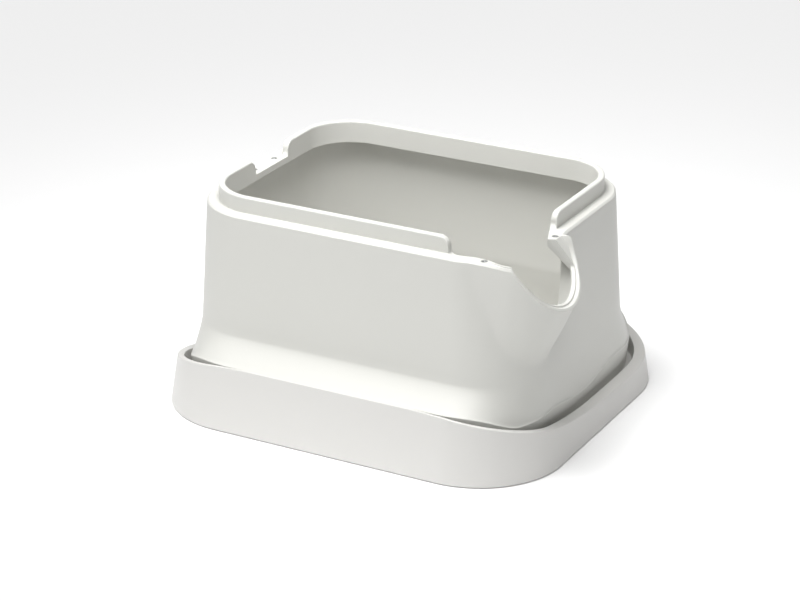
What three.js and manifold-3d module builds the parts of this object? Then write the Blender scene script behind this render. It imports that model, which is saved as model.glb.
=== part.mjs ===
// Cat litter box with a high hood: a flared litter tray with a double-walled rim that dips at both
// short sides, and a tall open-topped hood shell that lifts out of it. The hood has a seat and collar
// round its top for a removable lid, a notch in the collar at the left, and a rounded entrance spout
// at the right front corner. Millimetres, +Z up, +X along the longer side, front towards -Y.
// Origin: the middle of the footprint, on the surface that the feet stand on.

import * as THREE from 'three';
import { ParametricGeometry } from 'three/addons/geometries/ParametricGeometry.js';
import { mergeVertices } from 'three/addons/utils/BufferGeometryUtils.js';
import Module from 'manifold-3d';

const wasm = await Module();
wasm.setup();

// ---- Driving dimensions -------------------------------------------------------------------------

const GAP = 0.3;                 // running gap between pieces that touch

// Tray: footprint of the skirt, and the heights of its rim
const TRAY_HALF_X = 280;
const TRAY_HALF_Y = 243;
const TRAY_CORNER = 118;
const SKIRT_BOTTOM = 1;
const SKIRT_LEAN = 0.155;        // inward lean of the skirt, per mm of height
const RIM_HIGH = 87;             // along the long sides
const RIM_LOW = 36;              // hand grips in the short sides
const RIM_DIP_Y = 52;            // the grips are a little behind the middle
const RIM_CLIMB = 370;           // way along the rim from a grip to the full height
const RIM_SPREAD = 1.3;          // how slowly the rim leaves the bottom of a grip
const SKIRT_WALL = 3;
const FLOOR_UNDER = 3;
const FLOOR_TOP = 5.5;
const LEDGE_TOP = 25.7;          // seat of the hood's foot inside the basin
const LEDGE_WIDTH = 13;
const BASIN_INSET_LOW = 23;      // basin wall, inside the footprint, at the ledge
const BASIN_INSET_HIGH = 16.5;   // and at the high rim

// Hood shell
const SHOULDER = 278.5;          // height of the lid seat
const SHOULDER_HALF_X = 237;
const SHOULDER_HALF_Y = 185.7;
const SHOULDER_CORNER = 87;
const FLARE_TOP = 115;           // where the straight wall turns out into the flare
const WALL_DRAFT_X = 10;         // growth of the wall from the shoulder to the flare
const WALL_DRAFT_Y = 6;
const HOOD_WALL = 3.5;
const FOOT_CLEAR_X = 8;          // clearance of the foot in the basin
const FOOT_CLEAR_Y = 2;
const FOOT_CORNER_EXTRA = 11;    // the foot's corners are rounder than the basin's
const FOOT_LINE_LOW = 50;        // lower edge of the flare in the middle of the short sides
const FOOT_LINE_SIDE = 64;       // towards the corners
const FOOT_LINE_HIGH = 86;       // and along the long sides
const FLARE_BEND = 1.4;          // 1 is a straight flare, more is hollower
const SEAT_WIDTH = 15;           // lid seat, from the outer edge to the collar
const COLLAR_WALL = 9;
const COLLAR_HEIGHT = 21.3;
const COLLAR_END_ROUND = 13;     // rounding of the collar's ends, seen from the side
const SEAT_THICK = 4.5;
const COLLAR_SKIRT = 9.5;        // how far the collar's inner face runs below the seat
const EDGE_ROUND = 2;

// Gaps in the collar
const NOTCH_HALF = 42;           // half width of the notch in the middle of the left side
const ENTRANCE_FRONT_X = 141;    // the collar stops here on the front
const ENTRANCE_SIDE_Y = -31;     // and here on the right side

// Entrance spout: a half-round trough along X that stands out of the right front corner
const SPOUT_Y = -112;
const SPOUT_END_X = 230;         // centre of the trough's round end, at the top
const SPOUT_RADIUS = 70;
const SPOUT_FOOT_Z = 120;        // the spout dies into the wall at this height
const SPOUT_TAPER = 63;          // how far its tip has drawn back at that height
const SPOUT_BEND = 1.45;
const SPOUT_NARROWING = 22;      // how much its radius has shrunk there
const SPOUT_NARROW_BEND = 1.6;
const SPOUT_BLEND = 14;          // hollow fillet between the spout and the wall
const LIP_DROP = 62;             // depth of the entrance below the shoulder
const LIP_Y = -113.3;            // middle of the entrance
const LIP_HALF = 68.5;           // and its half width
const LIP_WIDTH = 14;
const LIP_SIDE_WIDTH = 5;
const LIP_BEAD = 2.2;
const PAD_FROM = 21;             // degrees of the fan at which the flat pad beside the entrance starts
const PAD_DEPTH = 11;            // of the pad, from the shoulder's edge

// Inserts that hold the lid, set in pockets in the seat, and the non-slip feet
const INSERT_RADIUS = 4;
const INSERT_THICK = 2;
const INSERT_SUNK = 0.6;
const INSERTS = {
  lid_insert_entrance_front: [191, -171],
  lid_insert_entrance_side: [231, -54],
  lid_insert_notch_front: [-226, -24],
  lid_insert_notch_back: [-226, 27],
};
const FOOT_RADIUS = 14;
const FOOT_HEIGHT = 2.7;
const FOOT_SPACING = [190, 150];

// ---- Shared shape functions ---------------------------------------------------------------------

const smoothstep = (from, to, value) => THREE.MathUtils.smoothstep(value, from, to);
const lerp = THREE.MathUtils.lerp;

// A station is a vertical section plane: an inner point and an outward direction in plan.
const station = (x, y, angle) => ({ x, y, nx: Math.cos(angle), ny: Math.sin(angle), angle });

// Distance from a station's inner point to a rounded rectangle, along its direction.
function reach(s, halfX, halfY, corner) {
  const toX = Math.abs(s.nx) > 1e-9 ? (Math.sign(s.nx) * halfX - s.x) / s.nx : Infinity;
  const toY = Math.abs(s.ny) > 1e-9 ? (Math.sign(s.ny) * halfY - s.y) / s.ny : Infinity;
  const side = Math.min(toX, toY);
  const px = s.x + side * s.nx;
  const py = s.y + side * s.ny;
  const cx = halfX - corner;
  const cy = halfY - corner;
  if (Math.abs(px) <= cx || Math.abs(py) <= cy) return side;
  const dx = Math.sign(px) * cx - s.x;
  const dy = Math.sign(py) * cy - s.y;
  const along = dx * s.nx + dy * s.ny;
  const under = corner * corner - dx * dx - dy * dy + along * along;
  return under > 0 ? along + Math.sqrt(under) : side;
}

// Larger of two values, with a rounded change-over of the given width.
function softMax(a, b, width) {
  const overlap = Math.max(width - Math.abs(a - b), 0);
  return Math.max(a, b) + (overlap * overlap) / (4 * width);
}

// Closed solid from a section: sectionAt(station) gives the same number of [reach, z] points for
// every station. Sections that start and end at the middle close a disc, others close a ring.
function loft(stations, sectionAt, closedSection) {
  const sections = stations.map(sectionAt);
  const points = sections[0].length;
  const rows = closedSection ? points : points - 1;
  const geometry = new ParametricGeometry((u, v, target) => {
    const i = Math.round(u * stations.length) % stations.length;
    const j = Math.round(v * rows) % points;
    const s = stations[i];
    const [out, z] = sections[i][j];
    if (out === null) target.set(0, 0, z);
    else target.set(s.x + out * s.nx, s.y + out * s.ny, z);
  }, stations.length, rows);
  return closeBody(geometry);
}

// Merge shared corners and drop the collapsed triangles that a pole leaves.
function closeBody(source) {
  const geometry = source.clone();
  geometry.deleteAttribute('normal');
  geometry.deleteAttribute('uv');
  const merged = mergeVertices(geometry, 1e-4);
  const index = merged.getIndex().array;
  const kept = [];
  for (let i = 0; i < index.length; i += 3) {
    const [a, b, c] = [index[i], index[i + 1], index[i + 2]];
    if (a !== b && b !== c && c !== a) kept.push(a, b, c);
  }
  merged.setIndex(kept);
  return merged;
}

const toSolid = (geometry) => new wasm.Manifold(new wasm.Mesh({
  numProp: 3,
  vertProperties: new Float32Array(geometry.getAttribute('position').array),
  triVerts: new Uint32Array(geometry.getIndex().array),
}));

function toGeometry(solid) {
  const mesh = solid.getMesh();
  const geometry = new THREE.BufferGeometry();
  geometry.setAttribute('position', new THREE.BufferAttribute(mesh.vertProperties, 3));
  geometry.setIndex(new THREE.BufferAttribute(mesh.triVerts, 1));
  geometry.computeVertexNormals();
  return geometry;
}

// Stations round a rounded rectangle: square to each straight side, fanned round each corner.
function corner(list, cx, cy, fromDegrees, toDegrees, steps) {
  for (let i = 0; i <= steps; i += 1) {
    const angle = THREE.MathUtils.degToRad(lerp(fromDegrees, toDegrees, i / steps));
    list.push(station(cx, cy, angle));
  }
}

// ---- Tray ---------------------------------------------------------------------------------------

const basinInset = (z) => lerp(BASIN_INSET_LOW, BASIN_INSET_HIGH, (z - LEDGE_TOP) / (RIM_HIGH - LEDGE_TOP));
const traySide = (s, inset) => reach(s, TRAY_HALF_X - inset, TRAY_HALF_Y - inset, TRAY_CORNER - inset);

const TRAY_CX = TRAY_HALF_X - TRAY_CORNER;
const TRAY_CY = TRAY_HALF_Y - TRAY_CORNER;

// Height of the rim: it climbs along the outline from the grip in the nearer short side.
function rimHeight(s) {
  const turned = Math.atan2(Math.abs(s.ny), Math.abs(s.nx));
  const along = Math.abs(s.y) + turned * (TRAY_CORNER - 15) + TRAY_CX - Math.abs(s.x);
  const way = Math.abs(Math.sign(s.y) * along - RIM_DIP_Y);
  const climbed = 0.5 - 0.5 * Math.cos(Math.PI * Math.min(way / RIM_CLIMB, 1) ** RIM_SPREAD);
  return lerp(RIM_LOW, RIM_HIGH, climbed);
}

function trayStations() {
  const list = [];
  const cx = TRAY_CX;
  const cy = TRAY_CY;
  const sideSteps = 8;
  const cornerSteps = 9;
  for (let i = 1; i < sideSteps; i += 1) list.push(station(cx, lerp(-cy, cy, i / sideSteps), 0));
  corner(list, cx, cy, 0, 90, cornerSteps);
  for (let i = 1; i < sideSteps; i += 1) list.push(station(lerp(cx, -cx, i / sideSteps), cy, Math.PI / 2));
  corner(list, -cx, cy, 90, 180, cornerSteps);
  for (let i = 1; i < sideSteps; i += 1) list.push(station(-cx, lerp(cy, -cy, i / sideSteps), Math.PI));
  corner(list, -cx, -cy, 180, 270, cornerSteps);
  corner(list, cx, -cy, 270, 360, cornerSteps);
  return list;
}

function traySection(s) {
  const outer = (z, extra = 0) => traySide(s, SKIRT_LEAN * z + extra);
  const rim = rimHeight(s);
  const hollowTop = Math.min(rim - SKIRT_WALL, RIM_HIGH - 21);
  const basin = (z, extra = 0) => traySide(s, basinInset(z) + extra);
  const wellInset = BASIN_INSET_LOW + LEDGE_WIDTH;
  const round = THREE.MathUtils.clamp(0.4 * (outer(rim) - basin(rim)), 1, 4);
  return [
    [null, FLOOR_UNDER],
    [traySide(s, wellInset + 12), FLOOR_UNDER],
    [traySide(s, wellInset + SKIRT_WALL - 3), 9],
    [traySide(s, wellInset - SKIRT_WALL), LEDGE_TOP - SKIRT_WALL],
    [basin(LEDGE_TOP, -SKIRT_WALL), LEDGE_TOP - SKIRT_WALL],
    [basin(hollowTop, -SKIRT_WALL + 0.3), hollowTop],
    [outer(hollowTop, SKIRT_WALL - 0.3), hollowTop],
    [outer(SKIRT_BOTTOM, SKIRT_WALL), SKIRT_BOTTOM],
    [outer(SKIRT_BOTTOM, 1.2), SKIRT_BOTTOM],
    [outer(SKIRT_BOTTOM + 2), SKIRT_BOTTOM + 2],
    [outer(rim - round), rim - round],
    [outer(rim - 0.3 * round, 0.3 * round), rim - 0.3 * round],
    [outer(rim, round), rim],
    [basin(rim, -0.8), rim],
    [basin(rim - 1), rim - 1],
    [basin(LEDGE_TOP), LEDGE_TOP],
    [traySide(s, wellInset), LEDGE_TOP],
    [traySide(s, wellInset + 4), 11],
    [traySide(s, wellInset + 11), FLOOR_TOP],
    [null, FLOOR_TOP],
  ];
}

// ---- Hood ---------------------------------------------------------------------------------------

const SHOULDER_CX = SHOULDER_HALF_X - SHOULDER_CORNER;
const SHOULDER_CY = SHOULDER_HALF_Y - SHOULDER_CORNER;
const FAN_END = 32.5;             // degrees past +X at which the fan meets the square stations

const spoutDepth = (z) => Math.max((SHOULDER - z) / (SHOULDER - SPOUT_FOOT_Z), 0);
const spoutDrop = (z) => SPOUT_TAPER * spoutDepth(z) ** SPOUT_BEND;
const spoutBlend = (z) => Math.min(3 + 0.7 * spoutDrop(z), SPOUT_BLEND);

// Reach of the spout's round-ended trough from a station of the corner fan.
function spoutReach(s, z, inset) {
  const narrowed = SPOUT_NARROWING * spoutDepth(z) ** SPOUT_NARROW_BEND;
  const radius = SPOUT_RADIUS - narrowed - inset;
  const endX = SPOUT_END_X - spoutDrop(z) + narrowed;
  const dx = endX - s.x;
  const dy = SPOUT_Y - s.y;
  const along = dx * s.nx + dy * s.ny;
  const under = radius * radius - dx * dx - dy * dy + along * along;
  const round = along + Math.sign(under) * Math.sqrt(Math.abs(under));
  if (s.x + round * s.nx >= endX) return round;
  const sideY = SPOUT_Y + Math.sign(s.ny) * radius;
  return (sideY - s.y) / s.ny;
}

// Reach of the hood's straight wall and spout at a height, drawn in by an inset.
function wallReach(s, z, inset) {
  const down = THREE.MathUtils.clamp((SHOULDER - z) / (SHOULDER - FLARE_TOP), 0, 1);
  const halfX = SHOULDER_HALF_X + WALL_DRAFT_X * down - inset;
  const halfY = SHOULDER_HALF_Y + WALL_DRAFT_Y * down - inset;
  const wall = reach(s, halfX, halfY, SHOULDER_CORNER + 3 * down - inset);
  return withSpout(s, wall, z, inset);
}

function withSpout(s, wall, z, inset) {
  if (!s.fan) return wall;
  return softMax(wall, spoutReach(s, z, inset), spoutBlend(z));
}

// Reach of the flare: 0 at the foot line, 1 where it meets the straight wall.
function flareReach(s, foot, part, inset) {
  const bend = 1 - (1 - part) ** FLARE_BEND;
  const footInset = basinInset(foot);
  const z = lerp(foot, FLARE_TOP, part);
  const halfX = lerp(TRAY_HALF_X - footInset - FOOT_CLEAR_X, SHOULDER_HALF_X + WALL_DRAFT_X, bend);
  const halfY = lerp(TRAY_HALF_Y - footInset - FOOT_CLEAR_Y, SHOULDER_HALF_Y + WALL_DRAFT_Y, bend);
  const round = lerp(TRAY_CORNER - footInset + FOOT_CORNER_EXTRA, SHOULDER_CORNER + 3, bend);
  const wall = reach(s, halfX - inset, halfY - inset, round - inset);
  return withSpout(s, wall, z, inset);
}

// Height of the foot line at a distance from the middle of the short sides.
function footLine(y) {
  const side = lerp(FOOT_LINE_LOW, FOOT_LINE_SIDE, smoothstep(0, 100, Math.abs(y)));
  return lerp(side, FOOT_LINE_HIGH, smoothstep(165, 223, Math.abs(y)));
}

function footReach(s, z, inset) {
  const drawn = basinInset(z) + inset;
  const halfX = TRAY_HALF_X - FOOT_CLEAR_X - drawn;
  const halfY = TRAY_HALF_Y - FOOT_CLEAR_Y - drawn;
  return reach(s, halfX, halfY, TRAY_CORNER + FOOT_CORNER_EXTRA - drawn);
}

// Height of the outer top edge: the shoulder, or the half-round entrance lip on the spout.
function topEdge(s) {
  if (!s.fan) return SHOULDER;
  let z = SHOULDER;
  for (let pass = 0; pass < 8; pass += 1) {
    const out = wallReach(s, z, 0);
    const across = Math.abs(s.y + out * s.ny - LIP_Y) / LIP_HALF;
    const isSpout = s.x + out * s.nx > SPOUT_END_X;
    const lip = isSpout && across < 1 ? SHOULDER - LIP_DROP * Math.sqrt(1 - across * across) : SHOULDER;
    z = 0.5 * (z + lip);
  }
  return z;
}

// Share of the narrow entrance lip (1) against the full lid seat (0) at a fan station.
function lipShare(s) {
  if (!s.fan) return 0;
  const degrees = fanTurn(s);
  return smoothstep(-60, -47, degrees) * (degrees < PAD_FROM ? 1 : 0);
}

function lipWidth(s) {
  const degrees = fanTurn(s);
  const side = smoothstep(-46, -14, degrees) * (1 - 0.3 * smoothstep(4, 26, degrees));
  return lerp(LIP_SIDE_WIDTH, LIP_WIDTH, side);
}

// Height of the collar at a station: full, rounded off towards a gap, or none.
function collarHeight(s) {
  if (s.fan) return 0;
  const x = s.x;
  const y = s.y;
  let past = Infinity;
  if (s.angle === Math.PI) past = Math.abs(y) - NOTCH_HALF;
  if (s.ny < -0.999 && x > 0) past = ENTRANCE_FRONT_X - x;
  if (s.nx > 0.999) past = y - ENTRANCE_SIDE_Y;
  if (past < 0) return 0;
  const fallen = Math.max(COLLAR_END_ROUND - past, 0);
  return COLLAR_HEIGHT - COLLAR_END_ROUND + Math.sqrt(COLLAR_END_ROUND ** 2 - fallen ** 2);
}

// Distances past a collar end at which a station is needed.
const COLLAR_END_STEPS = [-0.3, 0, 0.6, 2.5, 6, COLLAR_END_ROUND];

function hoodStations() {
  const list = [];
  const cx = SHOULDER_CX;
  const cy = SHOULDER_CY;
  const cornerSteps = 8;
  for (const y of COLLAR_END_STEPS) list.push(station(cx, ENTRANCE_SIDE_Y + y, 0));
  for (const y of [0.2, 0.6]) list.push(station(cx, y * cy, 0));
  corner(list, cx, cy, 0, 90, cornerSteps);
  corner(list, -cx, cy, 90, 180, cornerSteps);
  const notch = COLLAR_END_STEPS.map((step) => NOTCH_HALF + step);
  list.push(station(-cx, 0.8 * cy, Math.PI));
  for (const y of notch.toReversed()) list.push(station(-cx, y, Math.PI));
  list.push(station(-cx, 0, Math.PI));
  for (const y of notch) list.push(station(-cx, -y, Math.PI));
  list.push(station(-cx, -0.8 * cy, Math.PI));
  corner(list, -cx, -cy, 180, 270, cornerSteps);
  const front = COLLAR_END_STEPS.map((step) => ENTRANCE_FRONT_X - step);
  for (const x of front.toReversed()) list.push(station(x, -cy, 1.5 * Math.PI));
  for (const degrees of fanAngles()) {
    const s = station(cx, -cy, THREE.MathUtils.degToRad(degrees));
    s.fan = true;
    list.push(s);
  }
  return list;
}

// Fan angles: closer together where the lip turns down from the seat, and a pair at the pad's end.
function fanAngles() {
  const turns = [];
  for (let turn = -90; turn < PAD_FROM - 2; turn += turn > -62 && turn < -36 ? 1.5 : 3.5) turns.push(turn);
  turns.push(PAD_FROM - 0.4, PAD_FROM);
  for (const part of [0.25, 0.5, 0.75, 1]) turns.push(lerp(PAD_FROM, FAN_END, part));
  return turns.map((turn) => 360 + turn);
}

const fanTurn = (s) => THREE.MathUtils.radToDeg(s.angle) - 360;

// Seat, collar or lip of a station: its outer edge, the step up to its crest, its inner end and the
// levels of these. On the pad beside the entrance the lip slopes up to the flat pad.
function crown(s, top) {
  const lip = lipShare(s);
  const edge = wallReach(s, top, 0);
  const across = SEAT_WIDTH + COLLAR_WALL;
  const isPad = s.fan && fanTurn(s) >= PAD_FROM && top < SHOULDER - 1;
  if (isPad) {
    const depth = lerp(PAD_DEPTH, across, smoothstep(PAD_FROM, FAN_END, fanTurn(s)));
    const crest = Math.min((SHOULDER_HALF_X - s.x) / s.nx, edge - 1.5);
    const end = (SHOULDER_HALF_X - depth - s.x) / s.nx;
    const step = Math.max(edge - 0.6 * lipWidth(s), crest + 0.4);
    const inside = crest - HOOD_WALL;
    const [bevel, thin, level] = [1, HOOD_WALL, SHOULDER];
    return { edge, step, ledge: top + 1, crest, end, inside, bevel, thin, level, side: level - 1, base: level };
  }
  const seat = (inset) => lerp(wallReach(s, top, inset), edge - (inset / across) * lipWidth(s), lip);
  const rise = Math.max(collarHeight(s), LIP_BEAD * lip);
  const thin = lerp(HOOD_WALL, Math.min(HOOD_WALL, 0.35 * lipWidth(s)), lip);
  const round = Math.min(2.4, rise);
  const level = top + rise;
  const step = seat(SEAT_WIDTH);
  const end = seat(across);
  const bevel = Math.min(Math.max(round, 0.8), 0.3 * (step - end));
  const inside = Math.max(step - HOOD_WALL, end + thin + 0.1);
  const side = level - round;
  return { edge, step, ledge: side, crest: step - bevel, end, inside, bevel, thin, level, side, base: top };
}

function hoodSection(s) {
  const top = topEdge(s);
  const outY = s.y + footReach(s, FOOT_LINE_LOW, 0) * s.ny;
  const foot = footLine(outY);
  const { edge, step, ledge, crest, end, inside, bevel, thin, level, side, base } = crown(s, top);
  const foot0 = LEDGE_TOP + GAP;
  const points = [[footReach(s, foot0, 0), foot0], [footReach(s, foot, 0), foot]];
  for (const part of [0.3, 0.65]) points.push([flareReach(s, foot, part, 0), lerp(foot, FLARE_TOP, part)]);
  for (const part of [0, 0.25, 0.5, 0.75]) {
    const z = lerp(FLARE_TOP, top - EDGE_ROUND, part);
    points.push([wallReach(s, z, 0), z]);
  }
  points.push([wallReach(s, top - EDGE_ROUND, 0), top - EDGE_ROUND]);
  points.push([Math.max(edge - EDGE_ROUND, step + 0.3), top]);
  points.push([step, top]);
  points.push([step - 0.1 * bevel, ledge]);
  points.push([crest, level]);
  points.push([end + bevel, level]);
  points.push([end, side]);
  points.push([end, base - COLLAR_SKIRT]);
  points.push([end + thin, base - COLLAR_SKIRT]);
  points.push([end + thin, base - SEAT_THICK]);
  points.push([inside, base - SEAT_THICK]);
  points.push([Math.max(step - HOOD_WALL, end + thin + 0.1), top - SEAT_THICK]);
  points.push([edge - thin, top - SEAT_THICK]);
  for (const part of [0.75, 0.5, 0.25, 0]) {
    const z = lerp(FLARE_TOP, top - EDGE_ROUND, part);
    points.push([wallReach(s, z, HOOD_WALL), z]);
  }
  points.push([flareReach(s, foot, 0.4, HOOD_WALL), lerp(foot, FLARE_TOP, 0.4)]);
  points.push([footReach(s, foot, HOOD_WALL), foot - 1.5]);
  points.push([footReach(s, foot0, HOOD_WALL), foot0]);
  return points;
}

// ---- Small round pieces -------------------------------------------------------------------------

function disc(radius, bottom, height, sides = 24) {
  const geometry = new THREE.CylinderGeometry(radius, radius, height, sides);
  geometry.rotateX(Math.PI / 2);
  geometry.translate(0, 0, bottom + height / 2);
  return closeBody(geometry);
}

function hoodShell() {
  let solid = toSolid(loft(hoodStations(), hoodSection, true));
  const depth = INSERT_SUNK + INSERT_THICK + GAP;
  for (const [x, y] of Object.values(INSERTS)) {
    const pocket = disc(INSERT_RADIUS + GAP, SHOULDER - depth, depth + 1);
    pocket.translate(x, y, 0);
    solid = solid.subtract(toSolid(pocket));
  }
  return toGeometry(solid);
}

// ---- Materials and assembly ---------------------------------------------------------------------

const plastic = (color, roughness) => new THREE.MeshStandardMaterial({ color, roughness, metalness: 0 });
const trayPlastic = plastic(0xecebe8, 0.35);
const hoodPlastic = plastic(0xe6e6e2, 0.35);
const steel = new THREE.MeshStandardMaterial({ color: 0x8b8d8c, roughness: 0.3, metalness: 1 });
const rubber = plastic(0x9a9b98, 0.8);

const litterBox = new THREE.Group();

function add(name, geometry, material, x = 0, y = 0) {
  const mesh = new THREE.Mesh(geometry, material);
  mesh.name = name;
  mesh.position.set(x, y, 0);
  litterBox.add(mesh);
}

add('base_tray', toGeometry(toSolid(loft(trayStations(), traySection, false))), trayPlastic);
add('hood_shell', hoodShell(), hoodPlastic);
for (const [name, [x, y]] of Object.entries(INSERTS)) {
  add(name, disc(INSERT_RADIUS, SHOULDER - INSERT_SUNK - INSERT_THICK, INSERT_THICK), steel, x, y);
}
for (const [sideX, nameX] of [[-1, 'left'], [1, 'right']]) {
  for (const [sideY, nameY] of [[-1, 'front'], [1, 'back']]) {
    const [x, y] = FOOT_SPACING;
    add(`foot_pad_${nameY}_${nameX}`, disc(FOOT_RADIUS, 0, FOOT_HEIGHT, 32), rubber, sideX * x, sideY * y);
  }
}

export default litterBox;
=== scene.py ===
"""Cat litter box: a moulded tray and the tall hood that stands in it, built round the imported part."""

import math
from types import SimpleNamespace

import bmesh
import bpy
from mathutils import Matrix, Vector


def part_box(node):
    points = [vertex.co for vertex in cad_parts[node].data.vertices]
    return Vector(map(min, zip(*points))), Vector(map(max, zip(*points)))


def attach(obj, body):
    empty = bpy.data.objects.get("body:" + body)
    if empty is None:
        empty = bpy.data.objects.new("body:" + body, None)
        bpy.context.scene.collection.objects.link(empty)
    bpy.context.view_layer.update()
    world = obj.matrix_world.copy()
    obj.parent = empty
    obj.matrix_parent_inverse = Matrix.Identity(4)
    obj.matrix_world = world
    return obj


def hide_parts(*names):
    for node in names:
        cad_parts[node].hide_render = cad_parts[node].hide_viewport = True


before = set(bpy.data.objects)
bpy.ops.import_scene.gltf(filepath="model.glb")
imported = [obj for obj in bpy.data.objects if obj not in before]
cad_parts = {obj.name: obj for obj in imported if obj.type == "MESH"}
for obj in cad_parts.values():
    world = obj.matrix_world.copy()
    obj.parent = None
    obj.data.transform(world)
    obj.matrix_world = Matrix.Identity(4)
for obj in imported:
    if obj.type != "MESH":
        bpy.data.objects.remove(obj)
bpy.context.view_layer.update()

bl_info = {
    "name": "Cat Litter Box with Hood",
    "version": (1, 0, 0),
    "blender": (4, 5, 0),
    "location": "View3D > Sidebar > Litter Box",
    "description": "Builds a moulded litter tray, its lift-off hood, the lid inserts and the feet",
    "category": "Add Mesh",
}

MM = 0.001
CORNER_STEPS = 4            # segments in every rounded edge of a section
GAP = 0.3

# Tray, in millimetres
TRAY_HALF_X = 280
TRAY_HALF_Y = 243
TRAY_CORNER = 118
SKIRT_BOTTOM = 1
SKIRT_LEAN = 0.155
RIM_DIP_Y = 52
RIM_CLIMB = 370
RIM_SPREAD = 1.3
RIM_PATH_INSET = 15         # the way round a corner is measured this far inside the tray's edge
FLOOR_UNDER = 3
FLOOR_TOP = 5.5
LEDGE_TOP = 25.7
LEDGE_WIDTH = 13
WELL_LEAN = 4               # the well's side leans in by this
WELL_BEND_HEIGHT = 11       # and turns towards the floor at this height
WELL_FOOT = 11              # the turn meets the floor this far in
WELL_UNDER_RUN = 12         # width over which the underside climbs
WELL_UNDER_TOP = 9          # height it climbs to
FLOOR_FACE_INSET = 40       # further in than this the floor is one flat face
HOLLOW_LIMIT = 66           # greatest height of the hollow under the rim
BASIN_INSET_LOW = 23
BASIN_INSET_HIGH = 16.5
RIM_HIGH = 87

# Hood, in millimetres
SHOULDER = 278.5
SHOULDER_HALF_X = 237
SHOULDER_HALF_Y = 185.7
SHOULDER_CORNER = 87
SHOULDER_CX = SHOULDER_HALF_X - SHOULDER_CORNER
SHOULDER_CY = SHOULDER_HALF_Y - SHOULDER_CORNER
FLARE_TOP = 115
WALL_DRAFT_X = 10
WALL_DRAFT_Y = 6
WALL_CORNER_GROWTH = 3
FOOT_CLEAR_X = 8
FOOT_CLEAR_Y = 1.4
FOOT_CORNER_EXTRA = 4
FOOT_LINE_LOW = 50
FOOT_LINE_SIDE = 64
FOOT_LINE_HIGH = 86
FOOT_LINE_DIP = (0, 100)    # y over which the foot line climbs out of its dip at a short side
FOOT_LINE_CLIMB = (165, 223)  # y over which it climbs on to its full height
FLARE_BEND = 1.4
COLLAR_END_ROUND = 13
SEAT_THICK = 4.5
COLLAR_SKIRT = 9.5
NOTCH_HALF = 42
ENTRANCE_FRONT_X = 141
ENTRANCE_SIDE_Y = -31

# Entrance spout and its lip, in millimetres
SPOUT_Y = -112
SPOUT_END_X = 230
SPOUT_RADIUS = 70
SPOUT_FOOT_Z = 120
SPOUT_TAPER = 63
SPOUT_BEND = 1.45
SPOUT_NARROWING = 33
SPOUT_NARROW_BEND = 2.2
SPOUT_BLEND = 3             # greatest width of the rounded change from spout to wall
SPOUT_BLEND_TOP = 1.5       # its width at the shoulder
SPOUT_BLEND_GROWTH = 0.4    # and its growth as the spout draws in
SPOUT_LEAST_RADIUS = 18
LIP_Y = -113.3
LIP_HALF = 68.5
LIP_SIDE_WIDTH = 5
LIP_START = (-60, -47)      # turns, in degrees from +X, over which the seat becomes the lip
LIP_WIDENS = (-46, -14)     # over which it widens
LIP_THINS = (4, 26)         # and over which it thins again
LIP_THINNING = 0.3
LIP_BEAD_START = 0.6        # share of the seat's or lip's width outside its bead
LIP_WALL_SHARE = 0.35       # the wall under a narrow lip, as a share of the lip's width
CROWN_ROUND = (0.6, 2.8)    # least and greatest rounding along the top of the collar
CREST_SET_BACK = 0.2
LIP_ROLL_EASE = 8           # the lip stands fully proud this far below the shoulder
PAD_FROM = 21
PAD_DEPTH = 9.7
PAD_DEPTH_END = 15.7
FAN_END = 32.5
ENTRANCE_SEAT_EXTRA = 2     # the seat ends just inside the inserts where there is no collar
LIP_ROLL = 1.3              # the lip stands proud of the spout
LIP_ROLL_HEIGHT = 6
LIP_CHAMFER_DROP = 3.4
LIP_CHAMFER_RUN = 2.4
FOOT_STEP = 1.6             # the foot stands proud of the flare
INNER_BEND = 118            # below this the inside runs straight to the foot

INSERTS = ("entrance_front", "entrance_side", "notch_front", "notch_back")
FEET = ("front_left", "front_right", "back_left", "back_right")


def linear(code):
    """Linear colour of an sRGB hex code."""
    parts = [int(code[i:i + 2], 16) / 255 for i in (1, 3, 5)]
    return tuple(c / 12.92 if c <= 0.04045 else ((c + 0.055) / 1.055) ** 2.4 for c in parts)


def lerp(a, b, t):
    return a + (b - a) * t


def clamp(value, low, high):
    return max(low, min(high, value))


def smoothstep(start, stop, value):
    t = clamp((value - start) / (stop - start), 0, 1)
    return t * t * (3 - 2 * t)


def soft_max(a, b, width):
    """Larger of two values with a rounded change-over."""
    overlap = max(width - abs(a - b), 0)
    return max(a, b) + overlap * overlap / (4 * width)


# ---- Outlines ------------------------------------------------------------------------------------


def station(x, y, degrees, fan=False):
    """A vertical section plane: an inner point and an outward direction in plan."""
    angle = math.radians(degrees)
    turn = degrees - 360
    return SimpleNamespace(x=x, y=y, nx=math.cos(angle), ny=math.sin(angle), turn=turn, fan=fan)


def reach(s, half_x, half_y, corner):
    """Distance from a station's inner point to a rounded rectangle."""
    to_x = (math.copysign(half_x, s.nx) - s.x) / s.nx if abs(s.nx) > 1e-9 else math.inf
    to_y = (math.copysign(half_y, s.ny) - s.y) / s.ny if abs(s.ny) > 1e-9 else math.inf
    side = min(to_x, to_y)
    px, py = s.x + side * s.nx, s.y + side * s.ny
    cx, cy = half_x - corner, half_y - corner
    if abs(px) <= cx or abs(py) <= cy:
        return side
    dx, dy = math.copysign(cx, px) - s.x, math.copysign(cy, py) - s.y
    along = dx * s.nx + dy * s.ny
    under = corner * corner - dx * dx - dy * dy + along * along
    return along + math.sqrt(under) if under > 0 else side


def corner_stations(cx, cy, start, stop, steps):
    return [station(cx, cy, lerp(start, stop, i / steps)) for i in range(steps + 1)]


def side_stations(start, stop, degrees, steps):
    """Square stations strictly between two points of a straight side."""
    return [
        station(lerp(start[0], stop[0], i / steps), lerp(start[1], stop[1], i / steps), degrees)
        for i in range(1, steps)
    ]


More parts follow.
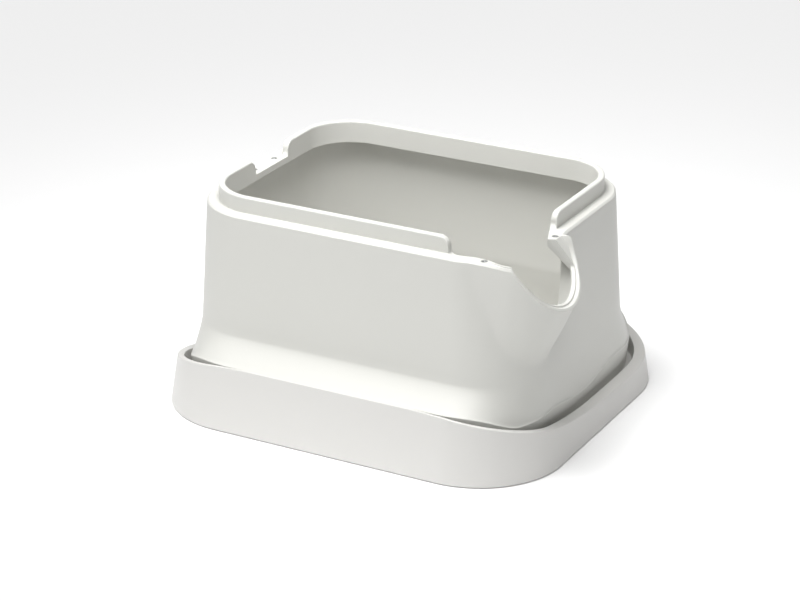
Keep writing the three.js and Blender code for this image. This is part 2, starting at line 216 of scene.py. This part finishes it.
# ---- Tray section --------------------------------------------------------------------------------

TRAY_CX = TRAY_HALF_X - TRAY_CORNER
TRAY_CY = TRAY_HALF_Y - TRAY_CORNER


def basin_inset(z):
    return lerp(BASIN_INSET_LOW, BASIN_INSET_HIGH, (z - LEDGE_TOP) / (RIM_HIGH - LEDGE_TOP))


def tray_side(s, inset):
    return reach(s, TRAY_HALF_X - inset, TRAY_HALF_Y - inset, TRAY_CORNER - inset)


def rim_height(s, low, high):
    """Height of the rim: it climbs along the outline from the grip in the nearer short side."""
    turned = math.atan2(abs(s.ny), abs(s.nx))
    along = abs(s.y) + turned * (TRAY_CORNER - RIM_PATH_INSET) + TRAY_CX - abs(s.x)
    way = abs(math.copysign(along, s.y) - RIM_DIP_Y)
    climbed = 0.5 - 0.5 * math.cos(math.pi * min(way / RIM_CLIMB, 1) ** RIM_SPREAD)
    return lerp(low, high, climbed)


def tray_stations():
    cx, cy = TRAY_CX, TRAY_CY
    turns = 28
    return (
        side_stations((cx, -cy), (cx, cy), 0, 26)
        + corner_stations(cx, cy, 0, 90, turns)
        + side_stations((cx, cy), (-cx, cy), 90, 24)
        + corner_stations(-cx, cy, 90, 180, turns)
        + side_stations((-cx, cy), (-cx, -cy), 180, 26)
        + corner_stations(-cx, -cy, 180, 270, turns)
        + side_stations((-cx, -cy), (cx, -cy), 270, 8)
        + corner_stations(cx, -cy, 270, 360, turns)
    )


def tray_section(s, look):
    """Corners (reach, height, rounding) from under the floor, out, over the rim and in again."""
    wall = look.wall / MM
    rim = rim_height(s, look.rim_low / MM, look.rim_high / MM)
    hollow = min(rim - wall, HOLLOW_LIMIT)
    well = BASIN_INSET_LOW + LEDGE_WIDTH

    def outer(z, extra=0):
        return tray_side(s, SKIRT_LEAN * z + extra)

    def basin(z, extra=0):
        return tray_side(s, basin_inset(z) + extra)

    band = outer(rim) - basin(rim)
    rim_round = clamp(0.45 * band, 1, look.rim_radius / MM)
    return [
        (tray_side(s, well + FLOOR_FACE_INSET), FLOOR_UNDER, 0),
        (tray_side(s, well + WELL_UNDER_RUN), FLOOR_UNDER, 3),
        (tray_side(s, well), WELL_UNDER_TOP, 2),
        (tray_side(s, well - wall), LEDGE_TOP - wall, 1),
        (basin(LEDGE_TOP, -wall), LEDGE_TOP - wall, 1),
        (basin(hollow, 0.3 - wall), hollow, 1.5),
        (outer(hollow, wall - 0.3), hollow, 1.5),
        (outer(SKIRT_BOTTOM, wall), SKIRT_BOTTOM, 0.8),
        (outer(SKIRT_BOTTOM), SKIRT_BOTTOM, 1.4),
        (outer(rim), rim, rim_round),
        (basin(rim), rim, min(1.2, rim_round)),
        (basin(LEDGE_TOP), LEDGE_TOP, 1.2),
        (tray_side(s, well), LEDGE_TOP, 1.5),
        (tray_side(s, well + WELL_LEAN), WELL_BEND_HEIGHT, 5),
        (tray_side(s, well + WELL_FOOT), FLOOR_TOP, 5),
        (tray_side(s, well + FLOOR_FACE_INSET), FLOOR_TOP, 0),
    ]


# ---- Hood section --------------------------------------------------------------------------------


def spout_depth(z):
    return max((SHOULDER - z) / (SHOULDER - SPOUT_FOOT_Z), 0)


def spout_drop(z):
    return SPOUT_TAPER * spout_depth(z) ** SPOUT_BEND


def spout_reach(s, z, inset):
    """Reach of the spout's round-ended trough from a station of the corner fan."""
    narrowed = SPOUT_NARROWING * spout_depth(z) ** SPOUT_NARROW_BEND
    radius = max(SPOUT_RADIUS - narrowed - inset, SPOUT_LEAST_RADIUS)
    end_x = SPOUT_END_X - spout_drop(z) + narrowed
    dx, dy = end_x - s.x, SPOUT_Y - s.y
    along = dx * s.nx + dy * s.ny
    under = radius * radius - dx * dx - dy * dy + along * along
    rounded = along + math.copysign(math.sqrt(abs(under)), under)
    if s.x + rounded * s.nx >= end_x:
        return rounded
    return (SPOUT_Y + math.copysign(radius, s.ny) - s.y) / s.ny


def with_spout(s, wall, z, inset):
    if not s.fan:
        return wall
    blend = min(SPOUT_BLEND_TOP + SPOUT_BLEND_GROWTH * spout_drop(z), SPOUT_BLEND)
    return soft_max(wall, spout_reach(s, z, inset), blend)


def wall_reach(s, z, inset):
    down = clamp((SHOULDER - z) / (SHOULDER - FLARE_TOP), 0, 1)
    half_x = SHOULDER_HALF_X + WALL_DRAFT_X * down - inset
    half_y = SHOULDER_HALF_Y + WALL_DRAFT_Y * down - inset
    corner = SHOULDER_CORNER + WALL_CORNER_GROWTH * down - inset
    return with_spout(s, reach(s, half_x, half_y, corner), z, inset)


def flare_reach(s, foot, part, inset):
    """Reach of the flare: 0 at the foot line, 1 where it meets the straight wall."""
    bend = 1 - (1 - part) ** FLARE_BEND
    drawn = basin_inset(foot)
    half_x = lerp(TRAY_HALF_X - drawn - FOOT_CLEAR_X, SHOULDER_HALF_X + WALL_DRAFT_X, bend)
    half_y = lerp(TRAY_HALF_Y - drawn - FOOT_CLEAR_Y, SHOULDER_HALF_Y + WALL_DRAFT_Y, bend)
    foot_corner = TRAY_CORNER - drawn + FOOT_CORNER_EXTRA
    corner = lerp(foot_corner, SHOULDER_CORNER + WALL_CORNER_GROWTH, bend)
    wall = reach(s, half_x - inset, half_y - inset, corner - inset)
    return with_spout(s, wall, lerp(foot, FLARE_TOP, part), inset)


def foot_line(y):
    side = lerp(FOOT_LINE_LOW, FOOT_LINE_SIDE, smoothstep(*FOOT_LINE_DIP, abs(y)))
    return lerp(side, FOOT_LINE_HIGH, smoothstep(*FOOT_LINE_CLIMB, abs(y)))


def foot_reach(s, z, inset):
    drawn = basin_inset(z) + inset
    half_x, half_y = TRAY_HALF_X - FOOT_CLEAR_X - drawn, TRAY_HALF_Y - FOOT_CLEAR_Y - drawn
    return reach(s, half_x, half_y, TRAY_CORNER + FOOT_CORNER_EXTRA - drawn)


def top_edge(s, lip_drop):
    """Height of the outer top edge: the shoulder, or the half-round entrance lip on the spout."""
    z = SHOULDER
    if not s.fan:
        return z
    for _ in range(14):
        out = wall_reach(s, z, 0)
        across = abs(s.y + out * s.ny - LIP_Y) / LIP_HALF
        is_lip = s.x + out * s.nx > SPOUT_END_X and across < 1
        lip = SHOULDER - lip_drop * math.sqrt(1 - across * across) if is_lip else SHOULDER
        z = 0.5 * (z + lip)
    return z


def lip_share(s):
    """Share of the narrow entrance lip against the full lid seat."""
    if not s.fan or s.turn >= PAD_FROM:
        return 0
    return smoothstep(*LIP_START, s.turn)


def lip_roll(s, top):
    """How far the lip stands proud at a height of its edge."""
    return LIP_ROLL * smoothstep(0, LIP_ROLL_EASE, SHOULDER - top)


def lip_width(s, widest):
    side = smoothstep(*LIP_WIDENS, s.turn) * (1 - LIP_THINNING * smoothstep(*LIP_THINS, s.turn))
    return lerp(LIP_SIDE_WIDTH, widest, side)


def collar_height(s, full):
    """Height of the collar: full, rounded off towards a gap, or none."""
    if s.fan:
        return 0
    past = math.inf
    if s.nx < -0.9999:
        past = abs(s.y) - NOTCH_HALF
    if s.ny < -0.9999 and s.x > 0:
        past = ENTRANCE_FRONT_X - s.x
    if s.nx > 0.9999:
        past = s.y - ENTRANCE_SIDE_Y
    if past < 0:
        return 0
    fallen = max(COLLAR_END_ROUND - past, 0)
    return full - COLLAR_END_ROUND + math.sqrt(COLLAR_END_ROUND ** 2 - fallen ** 2)


# parts of the way up the flare, and up the straight wall
FLARE_PARTS = (0.1, 0.2, 0.32, 0.45, 0.6, 0.75, 0.88)
CLIMB_PARTS = tuple(i / 16 for i in range(16))
# distances past a collar's end, closest where its rounding is steepest
COLLAR_END_STEPS = (-0.3, 0, 0.15, 0.5, 1, 1.8, 2.8, 4.2, 6, 8, 10.4, COLLAR_END_ROUND)


def hood_stations():
    cx, cy = SHOULDER_CX, SHOULDER_CY
    turns = 26
    stations = [station(cx, ENTRANCE_SIDE_Y + y, 0) for y in COLLAR_END_STEPS]
    stations += side_stations((cx, ENTRANCE_SIDE_Y + COLLAR_END_ROUND), (cx, cy), 0, 10)
    stations += corner_stations(cx, cy, 0, 90, turns)
    stations += side_stations((cx, cy), (-cx, cy), 90, 8)
    stations += corner_stations(-cx, cy, 90, 180, turns)
    notch = [NOTCH_HALF + step for step in COLLAR_END_STEPS]
    stations += side_stations((-cx, cy), (-cx, notch[-1]), 180, 5)
    stations += [station(-cx, y, 180) for y in reversed(notch)]
    stations += side_stations((-cx, notch[0]), (-cx, -notch[0]), 180, 10)
    stations += [station(-cx, -y, 180) for y in notch]
    stations += side_stations((-cx, -notch[-1]), (-cx, -cy), 180, 5)
    stations += corner_stations(-cx, -cy, 180, 270, turns)
    front = [ENTRANCE_FRONT_X - step for step in COLLAR_END_STEPS]
    stations += side_stations((-cx, -cy), (front[-1], -cy), 270, 8)
    stations += [station(x, -cy, 270) for x in reversed(front)]
    turn = -90
    while turn < PAD_FROM - 1:
        stations.append(station(cx, -cy, 360 + turn, fan=True))
        turn += 0.5 if -62 < turn < -36 else 1
    pad = [PAD_FROM - 0.4] + [lerp(PAD_FROM, FAN_END, i / 12) for i in range(13)]
    return stations + [station(cx, -cy, 360 + turn, fan=True) for turn in pad]


def crown(s, top, look):
    """Seat, collar or lip of a station: its reaches, wall, heights and rounding.

    On the pad beside the entrance the lip slopes up to the pad.
    """
    wall = look.wall / MM
    behind = ENTRANCE_SEAT_EXTRA if s.fan else look.collar_wall / MM
    across = look.seat_width / MM + behind
    widest = look.lip_width / MM
    share = lip_share(s)
    edge = wall_reach(s, top, 0) + lip_roll(s, top)
    pad = clamp((s.turn - PAD_FROM) / (FAN_END - PAD_FROM), 0, 1)
    depth = lerp(PAD_DEPTH, PAD_DEPTH_END, pad)
    if s.fan and s.turn >= PAD_FROM and top < SHOULDER - 1:
        crest = min((SHOULDER_HALF_X - s.x) / s.nx, edge - 1.5)
        step = max(edge - LIP_BEAD_START * lip_width(s, widest), crest + 0.4)
        end = (SHOULDER_HALF_X - depth - s.x) / s.nx
        return edge, step, crest, end, crest - wall, wall, SHOULDER, SHOULDER, 1.2

    def seat(inset):
        return lerp(wall_reach(s, top, inset), edge - inset / across * lip_width(s, widest), share)

    rise = max(collar_height(s, look.collar_height / MM), look.lip_bead / MM * share)
    thin = lerp(wall, min(wall, LIP_WALL_SHARE * lip_width(s, widest)), share)
    step = seat(look.seat_width / MM * (LIP_BEAD_START if s.fan else 1))
    end = seat(across)
    if s.fan and s.turn >= PAD_FROM:
        end = (SHOULDER_HALF_X - depth - s.x) / s.nx
    inside = max(step - wall, end + thin + 0.1)
    crown_round = clamp(rise, *CROWN_ROUND)
    return edge, step, step - CREST_SET_BACK, end, inside, thin, top + rise, top, crown_round


def hood_section(s, look):
    """Corners (reach, height, rounding) up the outside, over the top and down the inside."""
    wall = look.wall / MM
    top = top_edge(s, look.lip_drop / MM)
    edge, step, crest, end, inside, thin, level, base, crown_round = crown(s, top, look)
    foot = foot_line(s.y + foot_reach(s, FOOT_LINE_LOW, 0) * s.ny)
    foot0 = LEDGE_TOP + GAP
    under_step = max(step - wall, end + thin + 0.1)
    share = lip_share(s)
    skirt = lerp(COLLAR_SKIRT, SEAT_THICK + 1, share)
    chamfer_drop = lerp(look.edge_radius / MM, LIP_CHAMFER_DROP, share)
    chamfer_run = min(lerp(look.edge_radius / MM, LIP_CHAMFER_RUN, share), 0.8 * (edge - step))
    rounded = [
        (edge, top - chamfer_drop, 1.2),
        (edge - chamfer_run, top, 1.2),
        (step, top, 1),
        (crest, level, crown_round),
        (end, level, crown_round),
        (end, base - skirt, 0.8),
        (end + thin, base - skirt, 0.8),
        (end + thin, base - SEAT_THICK, 0.6),
        (inside, base - SEAT_THICK, 0.3),
        (under_step, top - SEAT_THICK, 0.3),
        (edge - thin, top - SEAT_THICK, 1),
    ]
    outside = [(foot_reach(s, foot0, 0), foot0, 1), (foot_reach(s, foot, 0), foot, 1.2)]
    for part in (0.03, *FLARE_PARTS):
        step_back = FOOT_STEP * (1 - part) ** 3
        outside.append((flare_reach(s, foot, part, 0) - step_back, lerp(foot, FLARE_TOP, part), 0))
    for part in CLIMB_PARTS:
        z = lerp(FLARE_TOP, top - LIP_ROLL_HEIGHT - 1, part)
        outside.append((wall_reach(s, z, 0), z, 0))
    under_lip, lip_foot = top - LIP_ROLL_HEIGHT, top - LIP_ROLL_HEIGHT + 1.4
    outside.append((wall_reach(s, under_lip, 0), under_lip, 0))
    outside.append((wall_reach(s, lip_foot, 0) + lip_roll(s, top), lip_foot, 0.8))
    inner = []
    for part in reversed(CLIMB_PARTS):
        z = lerp(INNER_BEND, top - SEAT_THICK - 3, part)
        inner.append((wall_reach(s, z, wall), z, 0))
    bend, base_line = wall_reach(s, INNER_BEND, wall), foot_reach(s, foot0, wall)
    for part in (0.25, 0.5, 0.75):
        inner.append((lerp(bend, base_line, part), lerp(INNER_BEND, foot0, part), 0))
    inner.append((base_line, foot0, 0.8))
    return outside + rounded + inner


# ---- Meshes --------------------------------------------------------------------------------------


def round_corners(points, closed):
    """Each (reach, height, radius) corner becomes a short arc; a radius of 0 stays a point."""
    out = []
    count = len(points)
    for i, (x, z, radius) in enumerate(points):
        here = Vector((x, z))
        if not radius or (not closed and i in (0, count - 1)):
            out.append(here)
            continue
        back = Vector(points[i - 1][:2]) - here
        ahead = Vector(points[(i + 1) % count][:2]) - here
        room = 0.48 * min(back.length, ahead.length)
        opening = math.pi - back.angle(ahead, 0)
        cut = min(room, radius * max(math.tan(opening / 2), 0.05))
        start, stop = here + back.normalized() * cut, here + ahead.normalized() * cut
        for k in range(CORNER_STEPS + 1):
            t = k / CORNER_STEPS
            out.append(start.lerp(here, t).lerp(here.lerp(stop, t), t))
    return out


def loft(name, stations, section, look, closed):
    """A grid wrapped round the stations, one row of vertices for each point of the section."""
    sections = [round_corners(section(s, look), closed) for s in stations]
    around, rows = len(stations), len(sections[0])
    bm = bmesh.new()
    across = rows if closed else rows - 1
    bmesh.ops.create_grid(bm, x_segments=around, y_segments=across, size=1)
    for vert in bm.verts:
        i = round((vert.co.x + 1) / 2 * around) % around
        j = round((vert.co.y + 1) / 2 * across) % rows
        s = stations[i]
        out, z = sections[i][j]
        vert.co = Vector((s.x + out * s.nx, s.y + out * s.ny, z)) * MM
    bmesh.ops.remove_doubles(bm, verts=bm.verts, dist=1e-7)
    rims = [e for e in bm.edges if e.is_boundary]
    if rims:
        bmesh.ops.holes_fill(bm, edges=rims, sides=0)
    bmesh.ops.dissolve_degenerate(bm, dist=1e-7, edges=bm.edges)
    return finish_mesh(name, bm)


def finish_mesh(name, bm):
    bmesh.ops.recalc_face_normals(bm, faces=bm.faces)
    mesh = bpy.data.meshes.new(name)
    bm.to_mesh(mesh)
    bm.free()
    for polygon in mesh.polygons:
        polygon.use_smooth = True
    obj = bpy.data.objects.new(name, mesh)
    bpy.context.collection.objects.link(obj)
    return obj


def weigh_normals(obj):
    """Flat faces keep flat shading beside the small rounded edges."""
    modifier = obj.modifiers.new("weighted_normals", "WEIGHTED_NORMAL")
    modifier.mode = "FACE_AREA"
    modifier.weight = 90
    modifier.keep_sharp = True


def turned(name, profile, centre):
    """A turned piece from (radius, height) points, spun about a vertical axis."""
    bm = bmesh.new()
    verts = [bm.verts.new(Vector((r, 0, z)) * MM) for r, z in profile]
    edges = [bm.edges.new(pair) for pair in zip(verts, verts[1:])]
    bmesh.ops.spin(
        bm, geom=verts + edges, axis=(0, 0, 1), cent=(0, 0, 0), steps=64, angle=math.tau,
        use_merge=True,
    )
    bmesh.ops.remove_doubles(bm, verts=bm.verts, dist=1e-7)
    bmesh.ops.translate(bm, verts=bm.verts, vec=centre)
    return finish_mesh(name, bm)


def box_centre(node):
    low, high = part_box(node)
    return Vector(((low.x + high.x) / 2, (low.y + high.y) / 2, 0)), low.z / MM, high.z / MM


def cut_pockets(obj, radius):
    """Round pockets in the seat, a little wider than the inserts that stand in them."""
    bm = bmesh.new()
    for name in INSERTS:
        centre, low, _ = box_centre("lid_insert_" + name)
        height = 6 * MM
        middle = centre + Vector((0, 0, (low - GAP) * MM + height / 2))
        bmesh.ops.create_cone(
            bm, cap_ends=True, segments=64, radius1=radius + GAP * MM, radius2=radius + GAP * MM,
            depth=height, matrix=Matrix.Translation(middle),
        )
    cutter = finish_mesh("pocket_cutter", bm)
    modifier = obj.modifiers.new("pockets", "BOOLEAN")
    modifier.operation = "DIFFERENCE"
    modifier.solver = "MANIFOLD"
    modifier.object = cutter
    bpy.context.view_layer.update()
    evaluated = obj.evaluated_get(bpy.context.evaluated_depsgraph_get())
    cut = bpy.data.meshes.new_from_object(evaluated)
    obj.modifiers.clear()
    if len(cut.vertices) <= len(obj.data.vertices):
        raise RuntimeError("the insert pockets were not cut")
    whole, obj.data = obj.data, cut
    cut.name = obj.name
    bpy.data.meshes.remove(whole)
    spare = cutter.data
    bpy.data.objects.remove(cutter)
    bpy.data.meshes.remove(spare)


# ---- Materials -----------------------------------------------------------------------------------


def add_node(tree, kind, settings=None, inputs=None):
    """Adds a node, sets its attributes, and sets or links its inputs."""
    node = tree.nodes.new(kind)
    for key, value in (settings or {}).items():
        setattr(node, key, value)
    for key, value in (inputs or {}).items():
        if isinstance(value, bpy.types.NodeSocket):
            tree.links.new(value, node.inputs[key])
        else:
            node.inputs[key].default_value = value
    return node


def new_material(name):
    material = bpy.data.materials.new(name)
    material.use_nodes = True
    tree = material.node_tree
    tree.nodes.clear()
    return material, tree


def moulded_plastic(name, color, roughness):
    """Injection-moulded polypropylene: a fine spark-eroded grain under a low, slightly uneven sheen."""
    material, tree = new_material(name)
    place = add_node(tree, "ShaderNodeTexCoord").outputs["Object"]
    # sheen varies over about 150 mm, as it does across a large moulding
    flow = add_node(tree, "ShaderNodeTexNoise", inputs={"Vector": place, "Scale": 6.5, "Detail": 3.0})
    sheen = add_node(tree, "ShaderNodeMapRange", inputs={
        "Value": flow.outputs["Fac"], "From Min": 0.3, "From Max": 0.7,
        "To Min": roughness - 0.03, "To Max": roughness + 0.04,
    })
    # grain of about 0.6 mm, a few micrometres deep
    grain = add_node(tree, "ShaderNodeTexNoise", inputs={
        "Vector": place, "Scale": 1600.0, "Detail": 2.0,
    })
    bump = add_node(tree, "ShaderNodeBump", inputs={
        "Height": grain.outputs["Fac"], "Strength": 0.12, "Distance": 0.00002,
    })
    shader = add_node(tree, "ShaderNodeBsdfPrincipled", inputs={
        "Base Color": (*color, 1.0), "IOR": 1.49, "Roughness": sheen.outputs["Result"],
        "Normal": bump.outputs["Normal"],
    })
    add_node(tree, "ShaderNodeOutputMaterial", inputs={"Surface": shader.outputs["BSDF"]})
    return material


def plated_steel(name, color):
    """Turned, zinc-plated steel: a soft metallic glint, slightly uneven."""
    material, tree = new_material(name)
    place = add_node(tree, "ShaderNodeTexCoord").outputs["Object"]
    # drawn at about 1 mm, coarser than the grain of real plating
    grain = add_node(tree, "ShaderNodeTexNoise", inputs={
        "Vector": place, "Scale": 900.0, "Detail": 2.0,
    })
    rough = add_node(tree, "ShaderNodeMapRange", inputs={
        "Value": grain.outputs["Fac"], "To Min": 0.42, "To Max": 0.55,
    })
    shader = add_node(tree, "ShaderNodeBsdfPrincipled", inputs={
        "Base Color": (*color, 1.0), "Metallic": 1.0, "Roughness": rough.outputs["Result"],
    })
    add_node(tree, "ShaderNodeOutputMaterial", inputs={"Surface": shader.outputs["BSDF"]})
    return material


def plain_matt(name, color, roughness):
    """Even, matt surface for rubber and for the studio floor."""
    material, tree = new_material(name)
    shader = add_node(tree, "ShaderNodeBsdfPrincipled", inputs={
        "Base Color": (*color, 1.0), "Roughness": roughness,
    })
    add_node(tree, "ShaderNodeOutputMaterial", inputs={"Surface": shader.outputs["BSDF"]})
    return material


# ---- Settings ------------------------------------------------------------------------------------


def length_setting(name, description, default):
    return bpy.props.FloatProperty(
        name=name, description=description, default=default, min=0, subtype="DISTANCE", unit="LENGTH"
    )


def colour_setting(name, description, code):
    return bpy.props.FloatVectorProperty(
        name=name, description=description, default=linear(code), size=3, min=0, max=1, subtype="COLOR"
    )


def share_setting(name, description, default):
    return bpy.props.FloatProperty(name=name, description=description, default=default, min=0, max=1)


class LITTERBOX_PG_tray(bpy.types.PropertyGroup):
    wall: length_setting("Wall", "Thickness of the tray's plastic", 0.003)
    rim_high: length_setting("Rim", "Height of the rim along the front", 0.087)
    rim_low: length_setting("Grip", "Height of the rim at the hand grips in the short sides", 0.036)
    rim_radius: length_setting("Rim Rounding", "Largest rounding of the rim's outer edge", 0.0022)
    color: colour_setting("Colour", "Colour of the tray's plastic", "#D1D0CD")
    roughness: share_setting("Roughness", "Roughness of the tray's plastic", 0.4)


class LITTERBOX_PG_hood(bpy.types.PropertyGroup):
    wall: length_setting("Wall", "Thickness of the hood's plastic", 0.0035)
    seat_width: length_setting("Seat", "Width of the flat seat round the collar", 0.015)
    collar_wall: length_setting("Collar Wall", "Thickness of the collar", 0.009)
    collar_height: length_setting("Collar Height", "Height of the collar above the seat", 0.0213)
    lip_drop: length_setting("Entrance Depth", "Depth of the entrance below the seat", 0.062)
    lip_width: length_setting("Lip Width", "Width of the entrance lip at the spout", 0.014)
    lip_bead: length_setting("Lip Bead", "Height of the bead along the inside of the lip", 0.0022)
    edge_radius: length_setting("Edge Rounding", "Rounding of the outer top edge", 0.0024)
    color: colour_setting("Colour", "Colour of the hood's plastic", "#CFCFCA")
    roughness: share_setting("Roughness", "Roughness of the hood's plastic", 0.4)


class LITTERBOX_PG_small(bpy.types.PropertyGroup):
    insert_radius: length_setting("Insert Radius", "Radius of the round lid inserts", 0.0045)
    insert_color: colour_setting("Insert Colour", "Colour of the plated steel", "#A2A4A3")
    foot_radius: length_setting("Foot Radius", "Radius of the non-slip feet", 0.014)
    foot_color: colour_setting("Foot Colour", "Colour of the feet's rubber", "#9A9B98")


class LITTERBOX_PG_stage(bpy.types.PropertyGroup):
    floor_color: colour_setting("Floor Colour", "Colour of the studio floor", "#FDFDFD")
    top_strength: bpy.props.FloatProperty(
        name="Overhead Light", description="Strength of the scrim-softened light overhead",
        default=2.35, min=0,
    )
    key_power: bpy.props.FloatProperty(
        name="Key Light", description="Power of the soft light at the front left",
        default=8.0, min=0, subtype="POWER",
    )
    boom_power: bpy.props.FloatProperty(
        name="Boom Light", description="Power of the light into the hood",
        default=3.2, min=0, subtype="POWER",
    )
    surround: bpy.props.FloatProperty(
        name="Surround", description="Strength of the even light all round", default=0.2, min=0
    )


# ---- Operators -----------------------------------------------------------------------------------


class LITTERBOX_OT_tray(bpy.types.Operator):
    """Build the tray with its double-walled rim"""

    bl_idname = "litter_box.build_tray"
    bl_label = "Build Tray"

    def execute(self, context):
        look = context.scene.litter_box_tray
        tray = loft("base_tray_moulded", tray_stations(), tray_section, look, closed=False)
        tray.data.materials.append(moulded_plastic("tray_polypropylene", look.color, look.roughness))
        weigh_normals(tray)
        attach(tray, "tray")
        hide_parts("base_tray")
        return {"FINISHED"}


class LITTERBOX_OT_hood(bpy.types.Operator):
    """Build the hood with its collar, lid seat and entrance spout"""

    bl_idname = "litter_box.build_hood"
    bl_label = "Build Hood"

    def execute(self, context):
        look = context.scene.litter_box_hood
        hood = loft("hood_shell_moulded", hood_stations(), hood_section, look, closed=True)
        hood.data.materials.append(moulded_plastic("hood_polypropylene", look.color, look.roughness))
        cut_pockets(hood, context.scene.litter_box_small.insert_radius)
        weigh_normals(hood)
        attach(hood, "hood")
        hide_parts("hood_shell")
        return {"FINISHED"}


class LITTERBOX_OT_inserts(bpy.types.Operator):
    """Build the four round inserts that hold a lid"""

    bl_idname = "litter_box.build_inserts"
    bl_label = "Build Lid Inserts"

    def execute(self, context):
        look = context.scene.litter_box_small
        steel = plated_steel("zinc_plated_steel", look.insert_color)
        r = look.insert_radius / MM
        for name in INSERTS:
            node = "lid_insert_" + name
            centre, low, high = box_centre(node)
            # flat rim with a broken edge round a conical lead-in and a blind bore
            profile = [
                (0, low), (r - 0.2, low), (r, low + 0.2), (r, high - 0.3), (r - 0.3, high),
                (0.42 * r, high), (0.34 * r, high - 0.3), (0.3 * r, high - 1.2), (0, high - 1.2),
            ]
            insert = turned(node + "_turned", profile, centre)
            insert.data.materials.append(steel)
            weigh_normals(insert)
            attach(insert, "hood")
            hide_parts(node)
        return {"FINISHED"}


class LITTERBOX_OT_feet(bpy.types.Operator):
    """Build the four non-slip feet"""

    bl_idname = "litter_box.build_feet"
    bl_label = "Build Feet"

    def execute(self, context):
        look = context.scene.litter_box_small
        rubber = plain_matt("soft_rubber", look.foot_color, 0.75)
        r = look.foot_radius / MM
        for name in FEET:
            node = "foot_pad_" + name
            centre, low, high = box_centre(node)
            # domed edge, flat underside
            profile = [
                (0, low), (r - 1.6, low), (r - 0.9, low + 0.12), (r - 0.35, low + 0.5),
                (r, low + 1.2), (r, high), (0, high),
            ]
            foot = turned(node + "_moulded", profile, centre)
            foot.data.materials.append(rubber)
            weigh_normals(foot)
            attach(foot, "tray")
            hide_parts(node)
        return {"FINISHED"}


class LITTERBOX_OT_stage(bpy.types.Operator):
    """Build the studio floor, the soft lights and the camera"""

    bl_idname = "litter_box.build_stage"
    bl_label = "Build Stage"

    def execute(self, context):
        look = context.scene.litter_box_stage
        bm = bmesh.new()
        bmesh.ops.create_grid(bm, x_segments=1, y_segments=1, size=12)
        floor = finish_mesh("studio_floor", bm)
        floor.data.materials.append(plain_matt("studio_paper", look.floor_color, 0.7))
        world = bpy.data.worlds.new("studio_surround")
        world.use_nodes = True
        background = world.node_tree.nodes["Background"]
        background.inputs["Color"].default_value = (1.0, 1.0, 1.0, 1.0)
        background.inputs["Strength"].default_value = look.surround
        context.scene.world = world
        context.scene.view_settings.view_transform = "Standard"
        aim = Vector((0, 0, 0.15))
        centre = Vector((0, 0, 0))
        overhead = light_at("overhead_scrim", "SUN", look.top_strength, (0.0, -0.36, 1.0), centre)
        overhead.data.angle = math.radians(55)
        key = light_at("key_softbox", "AREA", look.key_power, (-1.5, -2.2, 0.9), aim)
        key.data.shape = "SQUARE"
        key.data.size = 1.4
        inside = Vector((0, 0.1, 0.1))
        boom = light_at("boom_softbox", "AREA", look.boom_power, (-0.05, -0.1, 1.0), inside)
        boom.data.shape = "SQUARE"
        boom.data.size = 0.5
        boom.data.spread = math.radians(110)
        context.scene.camera = studio_camera()
        return {"FINISHED"}


def light_at(name, kind, power, place, aim):
    data = bpy.data.lights.new(name, kind)
    data.energy = power
    light = bpy.data.objects.new(name, data)
    light.location = place
    light.rotation_euler = (aim - light.location).to_track_quat("-Z", "Y").to_euler()
    bpy.context.collection.objects.link(light)
    return light


def studio_camera():
    """A long lens from the right front, a little above the box."""
    azimuth, elevation = math.radians(28.455), math.radians(22.749)
    distance, aside, above = 3.5520, -0.0163, 0.1160
    level = math.cos(elevation)
    back = Vector((math.sin(azimuth) * level, -math.cos(azimuth) * level, math.sin(elevation)))
    right = Vector((math.cos(azimuth), math.sin(azimuth), 0))
    up = back.cross(right)
    data = bpy.data.cameras.new("studio_camera")
    data.lens = 119.06
    data.sensor_width = 36.0
    data.clip_end = 50.0
    camera = bpy.data.objects.new("studio_camera", data)
    turn = Matrix((right, up, back)).transposed().to_4x4()
    camera.matrix_world = Matrix.Translation(distance * back + aside * right + above * up) @ turn
    bpy.context.collection.objects.link(camera)
    return camera


class LITTERBOX_PT_panel(bpy.types.Panel):
    """Settings and build buttons of the litter box"""

    bl_idname = "LITTERBOX_PT_panel"
    bl_label = "Litter Box"
    bl_space_type = "VIEW_3D"
    bl_region_type = "UI"
    bl_category = "Litter Box"

    def draw(self, context):
        for group, operators in PANEL_ROWS:
            box = self.layout.box()
            settings = getattr(context.scene, group)
            for key in settings.__annotations__:
                box.prop(settings, key)
            for operator in operators:
                box.operator(operator)


PANEL_ROWS = (
    ("litter_box_tray", ("litter_box.build_tray",)),
    ("litter_box_hood", ("litter_box.build_hood",)),
    ("litter_box_small", ("litter_box.build_inserts", "litter_box.build_feet")),
    ("litter_box_stage", ("litter_box.build_stage",)),
)
SETTINGS = {
    "litter_box_tray": LITTERBOX_PG_tray,
    "litter_box_hood": LITTERBOX_PG_hood,
    "litter_box_small": LITTERBOX_PG_small,
    "litter_box_stage": LITTERBOX_PG_stage,
}
CLASSES = (
    *SETTINGS.values(), LITTERBOX_OT_tray, LITTERBOX_OT_hood, LITTERBOX_OT_inserts, LITTERBOX_OT_feet,
    LITTERBOX_OT_stage, LITTERBOX_PT_panel,
)


def register():
    for cls in CLASSES:
        bpy.utils.register_class(cls)
    for name, group in SETTINGS.items():
        setattr(bpy.types.Scene, name, bpy.props.PointerProperty(type=group))


def unregister():
    for name in SETTINGS:
        delattr(bpy.types.Scene, name)
    for cls in reversed(CLASSES):
        bpy.utils.unregister_class(cls)


def main():
    register()
    bpy.ops.litter_box.build_tray()
    bpy.ops.litter_box.build_hood()
    bpy.ops.litter_box.build_inserts()
    bpy.ops.litter_box.build_feet()
    bpy.ops.litter_box.build_stage()


if __name__ == "__main__":
    main()
